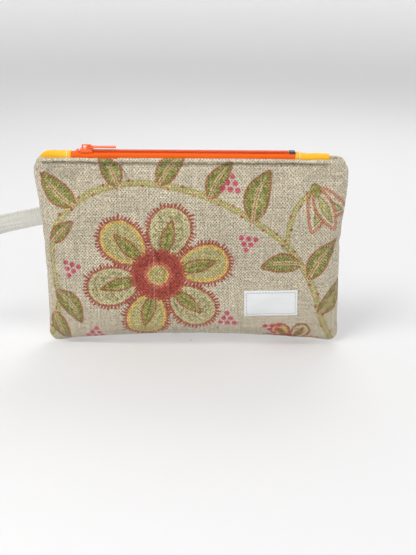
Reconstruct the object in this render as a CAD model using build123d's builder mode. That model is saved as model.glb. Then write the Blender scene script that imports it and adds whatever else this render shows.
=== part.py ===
"""A sewn zippered pouch: two padded fabric panels, a coil zipper with fabric end tabs, and a wrist strap.

The pouch stands upright in the XZ plane. The front faces -Y and the zipper runs along X at the top.
The origin is the middle of the bottom seam. All lengths are in millimetres.
"""

import os
from math import cos, radians, sin

from build123d import *

# ---------------------------------------------------------------- driving dimensions
TOP_WIDTH = 216.0  # side seam to side seam at the top
BOTTOM_WIDTH = 209.0
FOLD_Z = 137.0  # height of the folded top edges beside the zipper
DEPTH = 8.5  # how far each face stands out from the seam plane
ROLL = 26.0  # distance over which a face rolls down to the seam
ROLL_POWER = 2.2  # 2 is a round roll, more is squarer
ROLL_STEPS = 8
TOP_EXTRA = 6.0  # the roll starts this far above the fold
CORNER_RADIUS = 11.0
SEAM_GAP = 0.3  # between the front and the back halves along the seam

OUTER_THICKNESS = 0.9  # heavy woven furnishing cloth
FLEECE_THICKNESS = 1.2
LINING_THICKNESS = 0.4
FLEECE_TRIM = 7.0  # the padding stops this far below the fold
LINING_TRIM = 1.0  # the lining is folded this far below the fold

ZIP_LEFT, ZIP_RIGHT = -81.4, 71.0  # the zipper shows between these, a 6 inch zipper
TAPE_HIDDEN = 6.0  # tape inside each end tab
TAPE_THICKNESS = 0.5
TAPE_Z = FOLD_Z + 4.0  # middle of the flat top of the tape
TAPE_EDGE_Y = 0.75  # inner edge of each tape half
TAPE_BEND_Y = 2.9  # where the tape turns down to the fold
TAPE_BURIED = 4.0  # depth of tape sewn in below the fold

COIL_PITCH = 1.27
COIL_LEFT, COIL_RIGHT = -71.3, 66.6
COIL_HEIGHT = 1.4
COIL_BACK_Y = 2.3  # outer side of the coil's spine
COIL_SPINE = 0.8
TOOTH_LENGTH = 0.5
TOOTH_REACH = 0.35  # how far a tooth passes the middle line

SLIDER_X = -71.0  # middle of the slider when the pouch is shut
SLIDER_LENGTH = 9.0
SLIDER_WIDTH = 7.0
PLATE = 0.85
BRIDGE_WIDTH = 1.6
BRIDGE_RISE = 2.0
PULL_LENGTH = 20.0
PULL_THICKNESS = 1.0

TAB_LEFT_END, TAB_RIGHT_END = -95.0, 94.4
TAB_THICKNESS = 0.9

LABEL_WIDTH, LABEL_HEIGHT, LABEL_THICKNESS = 38.0, 19.0, 0.5
LABEL_CENTRE = (57.0, 36.0)
LABEL_TURN = 1.5

STRAP_Z = 93.0  # height of the strap's middle at the side seam
STRAP_SLOPE = 13.0  # degrees below level at the seam
STRAP_END_SLOPE = 32.0  # degrees below level at the far end
STRAP_STRAIGHT = 30.0  # length before the strap starts to droop
STRAP_WIDTH = 12.7
STRAP_PLY = 1.4  # thickness of the folded strip
STRAP_REACH = 128.0  # level distance from the seam to the far end of the loop
STRAP_NECK = 22.0  # level distance over which the two ends lie together
LOOP_RADIUS = 16.0
LOOP_START_RADIUS = 0.4  # inside of the loop where the two ends part
STRAP_INSET = 6.0  # length of strap inside the seam
FOLD_LINE_OUT = 3.0  # the strap folds this far outside the seam
FOLD_CLEARANCE = 0.3
SLOT_CLEARANCE = 0.2  # between the walls and the strap ends sewn between them

STITCH_LENGTH, STITCH_PITCH, STITCH_RADIUS = 2.3, 3.0, 0.22
STITCH_LIFT = STITCH_RADIUS + 0.02  # from the cloth to the middle of the thread
TOPSTITCH_DROP = 3.4  # topstitching below the fold
TAB_STITCH_IN = 2.6
LABEL_STITCH_IN = 1.6

FRONT = Plane.XZ  # sketches on it face the front, -Y
TOP_Z = FOLD_Z + TOP_EXTRA
OUTER_IN = OUTER_THICKNESS
FLEECE_IN = OUTER_IN + FLEECE_THICKNESS
LINING_IN = FLEECE_IN + LINING_THICKNESS
SIDE_LEAN = (TOP_WIDTH - BOTTOM_WIDTH) / 2 / TOP_Z
os.makedirs("parts", exist_ok=True)


def save(part, name):
    """Labels a finished part and writes its STEP file."""
    part.label = name
    export_step(part, f"parts/{name}.step")


# ---------------------------------------------------------------- shape of the pouch
def roll(share):
    """Height of the roll, 0 at the seam and 1 on the flat of the face."""
    return (1 - (1 - share) ** ROLL_POWER) ** (1 / ROLL_POWER)


def face_depth(z, skin):
    """Distance from the seam plane to the surface that lies skin below the outside, at mid width."""
    share = min(1.0, (TOP_Z - z - skin) / ROLL)
    return SEAM_GAP / 2 + (DEPTH - skin - SEAM_GAP / 2) * roll(share)


def half_width(z):
    return BOTTOM_WIDTH / 2 + SIDE_LEAN * z


def half_pillow(skin, top):
    """The front half of the space inside a surface that lies skin below the outside, cut off at top."""
    with BuildPart() as half:
        for step in range(ROLL_STEPS + 1):
            share = (step / ROLL_STEPS) ** 1.6
            inset = skin + ROLL * share
            depth = SEAM_GAP / 2 + (DEPTH - skin - SEAM_GAP / 2) * roll(share)
            low, high = inset, TOP_Z - inset
            corner = max(2.5, CORNER_RADIUS - inset * 0.5)
            with BuildSketch(FRONT.offset(depth)):
                with BuildLine():
                    Polyline(
                        (-half_width(low) + inset, low),
                        (half_width(low) - inset, low),
                        (half_width(high) - inset, high),
                        (-half_width(high) + inset, high),
                        close=True,
                    )
                outline = make_face()
                fillet(outline.vertices(), corner)
        loft(ruled=True)
        split(bisect_by=Plane.XY.offset(top), keep=Keep.BOTTOM)
    return half.part


def front_layer(skin, inner, top):
    """One layer of the front wall, from skin to inner below the outside, up to the height top."""
    with BuildPart() as layer:
        add(half_pillow(skin, top))
        add(half_pillow(inner, FOLD_Z + TOP_EXTRA / 2), mode=Mode.SUBTRACT)
    return layer.part


def mirrored(part):
    """The back copy of a front part."""
    with BuildPart() as copy:
        mirror(part, about=Plane.XZ)
    return copy.part


# ---------------------------------------------------------------- strap shape
SEAM_X = -half_width(STRAP_Z)
FOLD_LINE_X = SEAM_X - FOLD_LINE_OUT
DROOP_ANGLE = STRAP_END_SLOPE - STRAP_SLOPE
DROOP_RADIUS = STRAP_REACH / radians(DROOP_ANGLE)


def strap_side_view(width):
    """Everything inside the strap's outline as seen from the front, at any distance from the seam plane."""
    slope = radians(STRAP_SLOPE)
    along = Vector(-cos(slope), -sin(slope))
    seam = Vector(SEAM_X, STRAP_Z)
    with BuildPart() as side_view:
        with BuildSketch(FRONT):
            with BuildLine():
                straight = Line(seam - along * 2 * STRAP_INSET, seam + along * STRAP_STRAIGHT)
                JernArc(straight @ 1, along, DROOP_RADIUS, DROOP_ANGLE)
                offset(amount=width / 2, side=Side.BOTH)
            make_face()
        extrude(amount=2 * LOOP_RADIUS, both=True)
    return side_view.part


def strap_ends(inner_x, outer_x, clearance):
    """The two ends of the strap lying together between those places, grown by clearance."""
    with BuildPart() as ends:
        with BuildSketch():
            with Locations(((inner_x + outer_x) / 2, 0)):
                Rectangle(inner_x - outer_x + 2 * clearance, 2 * (STRAP_PLY + clearance))
        extrude(amount=TOP_Z)
        add(strap_side_view(STRAP_WIDTH + 2 * clearance), mode=Mode.INTERSECT)
    return ends.part


# ---------------------------------------------------------------- walls
strap_slot = strap_ends(SEAM_X + STRAP_INSET, SEAM_X - 1.0, SLOT_CLEARANCE)

with BuildPart() as front_outer:
    add(front_layer(0, OUTER_IN, FOLD_Z))
    add(strap_slot, mode=Mode.SUBTRACT)

with BuildPart() as front_fleece:
    add(front_layer(OUTER_IN, FLEECE_IN, FOLD_Z - FLEECE_TRIM))
    add(strap_slot, mode=Mode.SUBTRACT)

with BuildPart() as front_lining:
    add(front_layer(FLEECE_IN, LINING_IN, FOLD_Z - LINING_TRIM))
    add(strap_slot, mode=Mode.SUBTRACT)

save(front_outer.part, "front_outer")
save(front_fleece.part, "front_fleece")
save(front_lining.part, "front_lining")
save(mirrored(front_outer.part), "back_outer")
save(mirrored(front_fleece.part), "back_fleece")
save(mirrored(front_lining.part), "back_lining")


# ---------------------------------------------------------------- zipper tape and tabs
def strip_line(start_y):
    """Points (Y, Z) down the middle of the front half of the zipper strip, from start_y to its buried end."""
    middle = (OUTER_IN + FLEECE_IN) / 2
    low = FOLD_Z - TAPE_BURIED
    return [
        (start_y, TAPE_Z),
        (-TAPE_BEND_Y, TAPE_Z),
        (-face_depth(FOLD_Z, middle), FOLD_Z),
        (-face_depth(low, middle), low),
    ]


def strip(points, thickness, left, right):
    """A strip of cloth of that cross-section, from left to right along X."""
    with BuildPart() as cloth:
        with BuildSketch(Plane.YZ.offset(left)):
            with BuildLine():
                line = Polyline(*points)
                offset(line, amount=thickness / 2, side=Side.BOTH)
            make_face()
        extrude(amount=right - left)
    return cloth.part


front_tape = strip(
    strip_line(-TAPE_EDGE_Y), TAPE_THICKNESS, ZIP_LEFT - TAPE_HIDDEN, ZIP_RIGHT + TAPE_HIDDEN
)
save(front_tape, "front_zipper_tape")
save(mirrored(front_tape), "back_zipper_tape")


def end_tab(left, right, slot_left, slot_right):
    """A folded cloth tab over the end of both tapes. The tape ends sit in the slot between its plies."""
    front_half = strip_line(0)
    back_half = [(-y, z) for y, z in reversed(front_half)]
    with BuildPart() as tab:
        add(strip(back_half[:-1] + front_half[1:], TAB_THICKNESS, left, right))
        add(
            strip(back_half[:-1] + front_half[1:], TAPE_THICKNESS, slot_left, slot_right),
            mode=Mode.SUBTRACT,
        )
    return tab.part


left_tab = end_tab(TAB_LEFT_END, ZIP_LEFT, ZIP_LEFT - TAPE_HIDDEN, ZIP_LEFT)
right_tab = end_tab(ZIP_RIGHT, TAB_RIGHT_END, ZIP_RIGHT, ZIP_RIGHT + TAPE_HIDDEN)
save(left_tab, "left_zipper_tab")
save(right_tab, "right_zipper_tab")


# ---------------------------------------------------------------- coil, stops
def coil_half(first_tooth):
    """The front half of the coil: a spine with a tooth at every pitch."""
    base = TAPE_Z + TAPE_THICKNESS / 2
    count = int((COIL_RIGHT - COIL_LEFT - COIL_PITCH) / COIL_PITCH)
    with BuildPart() as coil:
        with BuildSketch(Plane.XY.offset(base)):
            with Locations(((COIL_LEFT + COIL_RIGHT) / 2, -COIL_BACK_Y + COIL_SPINE / 2)):
                Rectangle(COIL_RIGHT - COIL_LEFT, COIL_SPINE)
            tooth = COIL_BACK_Y - COIL_SPINE + TOOTH_REACH
            for number in range(count):
                with Locations((first_tooth + number * COIL_PITCH, TOOTH_REACH - tooth / 2)):
                    Rectangle(TOOTH_LENGTH, tooth)
        extrude(amount=COIL_HEIGHT)
    return coil.part


front_coil = coil_half(COIL_LEFT + 0.6)
save(front_coil, "front_coil")
save(mirrored(coil_half(COIL_LEFT + 0.6 + COIL_PITCH / 2)), "back_coil")


def crimp(x, length, y_low, y_high):
    """A metal stop lying on the tape."""
    base = TAPE_Z + TAPE_THICKNESS / 2
    with BuildPart() as stop:
        with BuildSketch(Plane.XY.offset(base)):
            with Locations((x, (y_low + y_high) / 2)):
                Rectangle(length, y_high - y_low)
        extrude(amount=COIL_HEIGHT + 0.3)
        fillet(stop.edges().group_by(Axis.Z)[-1], 0.35)
    return stop.part


TOP_STOP_LENGTH = 1.9
TOP_STOP_X = SLIDER_X - SLIDER_LENGTH / 2 - TOP_STOP_LENGTH
front_stop = crimp(TOP_STOP_X, TOP_STOP_LENGTH, -2.6, -0.8)
save(front_stop, "front_top_stop")
save(mirrored(front_stop), "back_top_stop")
save(crimp((COIL_RIGHT + ZIP_RIGHT) / 2, ZIP_RIGHT - COIL_RIGHT - 0.4, -2.7, 2.7), "bottom_stop")

# ---------------------------------------------------------------- slider
PLATE_TOP_Z = TAPE_Z + TAPE_THICKNESS / 2 + COIL_HEIGHT + 0.25 + PLATE
CHANNEL_HALF = COIL_BACK_Y + 0.3
FLANGE_LOW_Z = TAPE_Z + TAPE_THICKNESS / 2 + 0.25
UNDER_TOP_Z = TAPE_Z - TAPE_THICKNESS / 2 - 0.2
PULL_AXIS_Z = PLATE_TOP_Z + BRIDGE_RISE / 2

with BuildPart() as slider_body:
    with BuildSketch(Plane.XY.offset(PLATE_TOP_Z)):
        with Locations((SLIDER_X, 0)):
            RectangleRounded(SLIDER_LENGTH, SLIDER_WIDTH, 1.8)
    extrude(amount=-PLATE)
    with BuildSketch(Plane.XY.offset(PLATE_TOP_Z - PLATE)):
        with Locations((SLIDER_X, 0)):
            RectangleRounded(SLIDER_LENGTH, SLIDER_WIDTH, 1.8)
            Rectangle(SLIDER_LENGTH + 2, 2 * CHANNEL_HALF, mode=Mode.SUBTRACT)
    extrude(amount=-(PLATE_TOP_Z - PLATE - FLANGE_LOW_Z))
    with BuildSketch(Plane.XY.offset(UNDER_TOP_Z)):
        with Locations((SLIDER_X, 0)):
            RectangleRounded(SLIDER_LENGTH - 0.6, 2 * CHANNEL_HALF, 1.4)
    extrude(amount=-PLATE)
    fillet(slider_body.edges().group_by(Axis.Z)[-1], 0.35)
    # The wedge that parts the teeth joins the two plates at the end that leads when the zipper is closed.
    with BuildSketch(Plane.XY.offset(UNDER_TOP_Z - PLATE / 2)):
        with Locations((SLIDER_X - SLIDER_LENGTH / 2 + 1.7, 0)):
            SlotOverall(2.6, 1.0)
    extrude(amount=PLATE_TOP_Z - PLATE / 2 - (UNDER_TOP_Z - PLATE / 2))
    # The bridge over the top plate holds the pull.
    with BuildSketch(Plane.XZ.offset(-BRIDGE_WIDTH / 2)):
        with Locations((SLIDER_X, PLATE_TOP_Z + (BRIDGE_RISE + 0.7) / 2 - 0.1)):
            Rectangle(6.4, BRIDGE_RISE + 0.9)
        with Locations((SLIDER_X, PLATE_TOP_Z + BRIDGE_RISE / 2)):
            Rectangle(4.4, BRIDGE_RISE, mode=Mode.SUBTRACT)
    extrude(amount=BRIDGE_WIDTH)
    fillet(slider_body.edges().group_by(Axis.Z)[-1], 0.3)
save(slider_body.part, "slider_body")

with BuildPart() as pull_tab:
    with BuildSketch(Plane.XY.offset(PULL_AXIS_Z - PULL_THICKNESS / 2)):
        with BuildLine():
            neck, tip = SLIDER_X + 6.2, SLIDER_X + PULL_LENGTH
            Polyline((tip - 2.0, 2.0), (neck + 1.5, 1.5), (neck, 2.3), (SLIDER_X, 2.3), (SLIDER_X, -2.3))
            Polyline((SLIDER_X, -2.3), (neck, -2.3), (neck + 1.5, -1.5), (tip - 2.0, -2.0))
            ThreePointArc((tip - 2.0, -2.0), (tip, 0), (tip - 2.0, 2.0))
        make_face()
        with Locations((SLIDER_X + 2.4, 0)):
            Rectangle(4.8, 2.6, mode=Mode.SUBTRACT)
    extrude(amount=PULL_THICKNESS)
    # The round bar under the bridge, which the pull turns on.
    with Locations((SLIDER_X, 0, PULL_AXIS_Z)):
        Cylinder(radius=PULL_THICKNESS / 2, height=4.6, rotation=(90, 0, 0))
save(pull_tab.part, "pull_tab")


# ---------------------------------------------------------------- strap
ANCHOR_END_X = FOLD_LINE_X + STRAP_PLY + FOLD_CLEARANCE
save(strap_ends(SEAM_X + STRAP_INSET, ANCHOR_END_X, 0), "strap_anchor")

with BuildPart() as wrist_strap:
    # Seen from above, the strap is a neck with a rounded root on the fold line, and a drop-shaped loop.
    with BuildSketch():
        with BuildLine():
            CenterArc((SEAM_X - STRAP_NECK, 0), STRAP_PLY + LOOP_START_RADIUS, 0, 360)
            CenterArc((SEAM_X - STRAP_REACH + LOOP_RADIUS, 0), LOOP_RADIUS, 0, 360)
        drop = make_hull()
        offset(drop, amount=-STRAP_PLY, mode=Mode.SUBTRACT)
        with Locations((FOLD_LINE_X, 0)):
            Circle(STRAP_PLY)
        with Locations(((FOLD_LINE_X + SEAM_X - STRAP_NECK) / 2, 0)):
            Rectangle(STRAP_NECK - FOLD_LINE_OUT, 2 * STRAP_PLY)
    extrude(amount=TOP_Z)
    add(strap_side_view(STRAP_WIDTH), mode=Mode.INTERSECT)
save(wrist_strap.part, "wrist_strap")

# ---------------------------------------------------------------- label
LABEL_PLANE = Plane(
    origin=(LABEL_CENTRE[0], -DEPTH, LABEL_CENTRE[1]),
    x_dir=(cos(radians(LABEL_TURN)), 0, sin(radians(LABEL_TURN))),
    z_dir=(0, -1, 0),
)
with BuildPart() as label:
    with BuildSketch(LABEL_PLANE):
        RectangleRounded(LABEL_WIDTH, LABEL_HEIGHT, 0.6)
    extrude(amount=LABEL_THICKNESS)
save(label.part, "label")


# ---------------------------------------------------------------- stitching
def stitches_between(start, end):
    """Centres of the stitches in a straight row."""
    row = Vector(*end) - Vector(*start)
    count = max(1, int(row.length / STITCH_PITCH))
    return [Vector(*start) + row * ((number + 0.5) / count) for number in range(count)]


def stitch_row(start, end):
    """A row of separate stitches on the surface, from start to end."""
    direction = (Vector(*end) - Vector(*start)).normalized()
    with BuildPart() as row:
        for centre in stitches_between(start, end):
            with BuildSketch(Plane(origin=centre - direction * (STITCH_LENGTH / 2), z_dir=direction)):
                Circle(STITCH_RADIUS)
            extrude(amount=STITCH_LENGTH)
    return row.part


TOPSTITCH_Z = FOLD_Z - TOPSTITCH_DROP
TOPSTITCH_RISE = STITCH_LIFT + 0.15  # the cloth slopes, so the thread's lower side needs a little more room
topstitch_y = -face_depth(TOPSTITCH_Z, 0) - TOPSTITCH_RISE
front_row = stitch_row((-93.0, topstitch_y, TOPSTITCH_Z), (93.0, topstitch_y, TOPSTITCH_Z))
save(front_row, "front_topstitching")
save(mirrored(front_row), "back_topstitching")

with BuildPart() as label_stitching:
    half_w, half_h = LABEL_WIDTH / 2 - LABEL_STITCH_IN, LABEL_HEIGHT / 2 - LABEL_STITCH_IN
    corners = [(-half_w, -half_h), (half_w, -half_h), (half_w, half_h), (-half_w, half_h)]
    level = LABEL_THICKNESS + STITCH_LIFT
    for first, second in zip(corners, corners[1:] + corners[:1]):
        ends = [LABEL_PLANE.from_local_coords((u, v, level)) for u, v in (first, second)]
        add(stitch_row(tuple(ends[0]), tuple(ends[1])))
save(label_stitching.part, "label_stitching")


def tab_stitching(x):
    """Stitches across a zipper tab, over its flat top and down both sloping sides."""
    bend = Vector(TAPE_BEND_Y, TAPE_Z)
    fold = Vector(face_depth(FOLD_Z, (OUTER_IN + FLEECE_IN) / 2), FOLD_Z)
    down = (fold - bend).normalized()
    lift = Vector(-down.Y, down.X) * (TAB_THICKNESS / 2 + STITCH_LIFT + 0.03)
    top = TAPE_Z + TAB_THICKNESS / 2 + STITCH_LIFT
    high = bend + down * 0.4 + lift
    low = high + down * STITCH_LENGTH
    with BuildPart() as rows:
        add(stitch_row((x, -1.5, top), (x, 1.5, top)))
        for side in (-1, 1):
            add(stitch_row((x, side * high.X, high.Y), (x, side * low.X, low.Y)))
    return rows.part


save(tab_stitching(ZIP_LEFT - TAB_STITCH_IN), "left_tab_stitching")
save(tab_stitching(ZIP_RIGHT + TAB_STITCH_IN), "right_tab_stitching")

# The gap in the bottom of the lining that the pouch was turned through, closed from the inside.
CLOSING_SHARE = 0.35  # how far up the roll at the bottom of the lining the stitches lie
CLOSING_HALF_LENGTH = 35.0
closing_z = LINING_IN + ROLL * CLOSING_SHARE
lining_depth = SEAM_GAP / 2 + (DEPTH - LINING_IN - SEAM_GAP / 2) * roll(CLOSING_SHARE)
closing_y = lining_depth - 2 * STITCH_LIFT
closing_row = stitch_row(
    (-CLOSING_HALF_LENGTH, closing_y, closing_z), (CLOSING_HALF_LENGTH, closing_y, closing_z)
)
save(closing_row, "lining_closing_stitches")
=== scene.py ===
"""The looks of the zippered pouch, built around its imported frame. Lengths named below are in millimetres."""

from math import cos, pi, radians, sin

import bpy
import numpy as np
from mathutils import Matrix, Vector
from mathutils.bvhtree import BVHTree


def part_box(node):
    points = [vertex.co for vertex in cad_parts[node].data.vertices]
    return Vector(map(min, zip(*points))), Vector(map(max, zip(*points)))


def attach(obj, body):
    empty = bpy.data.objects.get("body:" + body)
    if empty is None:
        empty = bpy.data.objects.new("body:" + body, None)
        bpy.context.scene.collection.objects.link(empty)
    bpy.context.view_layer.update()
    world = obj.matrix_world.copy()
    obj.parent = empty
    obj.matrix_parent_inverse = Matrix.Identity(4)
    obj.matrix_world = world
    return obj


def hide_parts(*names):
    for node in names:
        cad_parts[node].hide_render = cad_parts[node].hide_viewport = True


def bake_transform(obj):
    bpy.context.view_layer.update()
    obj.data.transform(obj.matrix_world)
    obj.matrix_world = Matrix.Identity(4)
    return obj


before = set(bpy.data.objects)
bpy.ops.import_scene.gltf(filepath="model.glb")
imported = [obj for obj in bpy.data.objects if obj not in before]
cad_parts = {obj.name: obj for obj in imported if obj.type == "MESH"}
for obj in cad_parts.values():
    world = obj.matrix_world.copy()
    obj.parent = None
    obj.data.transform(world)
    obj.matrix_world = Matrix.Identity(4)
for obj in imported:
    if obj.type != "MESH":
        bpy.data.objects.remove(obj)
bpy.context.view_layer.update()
MM = 0.001


def box_of(node):
    """The low and the high corner of a CAD node's box, in millimetres."""
    return [np.array(corner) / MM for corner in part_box(node)]


# ------------------------------------------------------------------ sizes, most of them from the frame
outer_low, outer_high = box_of("front_outer")
HALF_TOP = outer_high[0] + 0.3  # half the width at the folded top edge
HALF_BOTTOM = HALF_TOP - 2.0
FOLD_Z = outer_high[2]
DEPTH = -outer_low[1]  # from the plane of the seams to the outside of a wall
ROLL = 30.0  # how far in from a seam a wall goes on rounding off
ROLL_AT_MOUTH = 12.0
ROLL_POWER = 2.2
TOP_EXTRA = 9.5  # the top rounds off as if the wall went on this much further
LEFT_BLEND_X, RIGHT_BLEND_X = -84.0, 72.0  # near the two ends of the mouth, one for each half of the front
FULL_BLEND_X = -5.0  # where the front is split into its two halves
TAPE_TOP = box_of("front_zipper_tape")[1][2]
ZIP_LEFT = box_of("left_zipper_tab")[1][0]
ZIP_RIGHT = box_of("right_zipper_tab")[0][0]
TAB_RIGHT = box_of("right_zipper_tab")[1][0]
TAB_LEFT = box_of("left_zipper_tab")[0][0] - 8.5


# ------------------------------------------------------------------ small helpers
def smooth(t):
    """0 to 1 with soft ends."""
    t = np.clip(t, 0, 1)
    return t * t * (3 - 2 * t)


def bell(distance, width):
    """1 at no distance, falling softly to almost 0 at twice the width."""
    return np.exp(-((distance / width) ** 2))


def unit(vectors, guard=0.0):
    """The vectors at length one. A small guard lets some of them be zero."""
    return vectors / (np.linalg.norm(vectors, axis=-1)[..., None] + guard)


def lengths_along(line):
    """How far along a line each of its points is."""
    return np.concatenate([[0], np.cumsum(np.linalg.norm(np.diff(line, axis=0), axis=1))])


def srgb(*rgb):
    """A colour given as 0 to 255 display values, in linear light."""
    values = np.array(rgb) / 255.0
    return np.where(values < 0.04045, values / 12.92, ((values + 0.055) / 1.055) ** 2.4)


def value_noise(x, y, scale, seed):
    """Smooth noise from -1 to 1 over x and y, with features about scale across."""
    table = np.random.default_rng(seed).uniform(-1, 1, (256, 256))
    u, v = np.asarray(x) / scale, np.asarray(y) / scale
    i, j = np.floor(u).astype(int), np.floor(v).astype(int)
    fu, fv = smooth(u - i), smooth(v - j)
    i, j = i % 255, j % 255
    low = table[i, j] * (1 - fu) + table[i + 1, j] * fu
    high = table[i, j + 1] * (1 - fu) + table[i + 1, j + 1] * fu
    return low * (1 - fv) + high * fv


def grid_faces(rows, columns, flip=False, start=0):
    """Quads of a grid whose points are stored row by row."""
    i, j = np.meshgrid(np.arange(rows - 1), np.arange(columns - 1), indexing="ij")
    a = start + i * columns + j
    faces = np.stack([a, a + 1, a + columns + 1, a + columns], -1).reshape(-1, 4)
    return faces[:, ::-1] if flip else faces


def grid_rim(rows, columns):
    """The points round a grid's edge: along the first row, up the right side, back and down the left."""
    along, up = np.arange(columns), np.arange(rows) * columns
    return np.concatenate([along[:-1], up[:-1] + columns - 1, (up[-1] + along)[:0:-1], up[:0:-1]])


def ring_faces(count, size, flip=False):
    """Quads between closed rings of that size, stored one after the other."""
    i, j = np.meshgrid(np.arange(count - 1), np.arange(size), indexing="ij")
    a, b = i * size + j, i * size + (j + 1) % size
    corners = [a, a + size, b + size, b] if flip else [a, b, b + size, a + size]
    return np.stack(corners, -1).reshape(-1, 4)


def make_object(name, points, faces, material, smooth_shade=True):
    """A mesh piece from points in millimetres."""
    mesh = bpy.data.meshes.new(name)
    faces = np.asarray(faces)
    mesh.vertices.add(len(points))
    mesh.vertices.foreach_set("co", (np.asarray(points) * MM).astype(np.float32).ravel())
    size = faces.shape[1]
    mesh.loops.add(faces.size)
    mesh.loops.foreach_set("vertex_index", faces.astype(np.int32).ravel())
    mesh.polygons.add(len(faces))
    mesh.polygons.foreach_set("loop_start", np.arange(0, faces.size, size, dtype=np.int32))
    mesh.polygons.foreach_set("loop_total", np.full(len(faces), size, dtype=np.int32))
    mesh.polygons.foreach_set("use_smooth", np.full(len(faces), smooth_shade))
    mesh.update(calc_edges=True)
    mesh.materials.append(material)
    piece = bpy.data.objects.new(name, mesh)
    bpy.context.scene.collection.objects.link(piece)
    return piece


def tube(points, radius, sides=6):
    """Points and faces of a round thread along the points, closed at both ends."""
    count = len(points)
    tangents = unit(np.gradient(points, axis=0), 1e-9)
    helper = np.where(np.abs(tangents[:, 2:3]) > 0.9, [[0.0, 1.0, 0.0]], [[0.0, 0.0, 1.0]])
    first = unit(np.cross(tangents, helper))
    second = np.cross(tangents, first)
    angles = np.arange(sides) * 2 * pi / sides
    ring = np.cos(angles)[None, :, None] * first[:, None] + np.sin(angles)[None, :, None] * second[:, None]
    skin = (points[:, None] + radius * ring).reshape(-1, 3)
    k = np.arange(0, sides, 2)
    following, second_next = (k + 1) % sides, (k + 2) % sides
    start_cap = np.stack([np.full_like(k, len(skin)), second_next, following, k], -1)
    last = (count - 1) * sides
    end_cap = np.stack([np.full_like(k, len(skin) + 1), last + k, last + following, last + second_next], -1)
    faces = np.vstack([ring_faces(count, sides), start_cap, end_cap])
    return np.vstack([skin, points[0], points[-1]]), faces


def joined(parts):
    """Several (points, faces) pairs as one."""
    points, faces, start = [], [], 0
    for some_points, some_faces in parts:
        points.append(some_points)
        faces.append(np.asarray(some_faces) + start)
        start += len(some_points)
    return np.vstack(points), np.vstack(faces)


def split_at_middle(points, faces):
    """The faces left of the full-blend line, and the rest."""
    centre = np.asarray(points)[faces].mean(axis=1)[:, 0]
    return faces[centre < FULL_BLEND_X], faces[centre >= FULL_BLEND_X]


def compact(points, faces):
    """The points that the faces use, the faces in their numbering, and which points they are."""
    used, index = np.unique(faces, return_inverse=True)
    return points[used], index.reshape(faces.shape), used


def add_colours(piece, colours):
    """Stores a colour at each point, for the material's print."""
    layer = piece.data.color_attributes.new("print", "FLOAT_COLOR", "POINT")
    rgba = np.ones((len(colours), 4), np.float32)
    rgba[:, :3] = colours
    layer.data.foreach_set("color", rgba.ravel())


def lay_cloth(piece, places):
    """Stores where each point is on its flat cloth, in millimetres, for the weave."""
    layer = piece.data.attributes.new("cloth", "FLOAT_VECTOR", "POINT")
    flat = np.zeros((len(places), 3), np.float32)
    flat[:, :2] = places
    layer.data.foreach_set("vector", flat.ravel())


def front_pieces(name, points, faces, material, *nodes, colours=None, normals=None, places=None,
                 smooth_shade=True):
    """Two halves of something on the front wall, split at the full-blend line, or the one that has faces."""
    pieces = []
    seams = (LEFT_BLEND_X, RIGHT_BLEND_X)
    for side, part, seam_x in zip(("left", "right"), split_at_middle(points, faces), seams):
        if not len(part):
            continue
        own_points, own_faces, used = compact(points, part)
        piece = make_object(f"{name}_{side}", own_points, own_faces, material, smooth_shade)
        if colours is not None:
            add_colours(piece, colours[used])
        if normals is not None:
            piece.data.normals_split_custom_set_from_vertices(normals[used].tolist())
        if places is not None:
            lay_cloth(piece, places[used])
        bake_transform(piece)
        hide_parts(*nodes)
        pieces.append(piece)
    return pieces


def back_piece(name, points, faces, material, *nodes, colours=None, places=None):
    """Something on the back wall or the seams."""
    piece = make_object(name, points, faces, material)
    if colours is not None:
        add_colours(piece, colours)
    if places is not None:
        lay_cloth(piece, places)
    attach(piece, "pouch_back")
    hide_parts(*nodes)
    return piece


def point_normals(points, faces):
    """A normal at each point of a quad mesh."""
    a, b, c, d = (points[faces[:, k]] for k in range(4))
    normal = np.cross(c - a, d - b)
    total = np.zeros_like(points)
    for k in range(4):
        np.add.at(total, faces[:, k], normal)
    return unit(total, 1e-12)


# ------------------------------------------------------------------ shape of the walls
COARSE_X, COARSE_Z = 73, 47  # points of the simulated wall across and up
PRESSURE = 0.42
SIM_FRAMES = 20
SIM_SCALE = 10  # the simulation runs on a pouch this many times too big
SIM_CAP = 5.0  # the furthest that a point may move
PULL_IN = 0.3  # how much of the simulation's movement in the plane of the walls is kept
SIDE_PULL = 1.4  # how far the side seams draw in at half their height
CORNER_RADIUS = 8.5
BOTTOM_SHIFT = 1.8  # the sewing isn't square: the bottom lies this far to the right
BOTTOM_LIFT = 5.6  # how far the middle of the bottom seam is drawn up above its corners


def rounded_corners(x, z, half, top):
    """The outline with its four corners rounded."""
    side, height = np.abs(x) / half, np.abs(z - top / 2) / (top / 2)
    across = np.clip((side * half - half + CORNER_RADIUS) / CORNER_RADIUS, 0, 1)
    up = np.clip((height * top / 2 - top / 2 + CORNER_RADIUS) / CORNER_RADIUS, 0, 1)
    in_x = across * (1 - np.sqrt(1 - up**2 / 2)) * CORNER_RADIUS
    in_z = up * (1 - np.sqrt(1 - across**2 / 2)) * CORNER_RADIUS
    return x - np.sign(x) * in_x, z - np.sign(z - top / 2) * in_z


def half_width(v):
    """Half the pouch's flat width, at that share of its height."""
    return HALF_BOTTOM + (HALF_TOP - HALF_BOTTOM) * v


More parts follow.
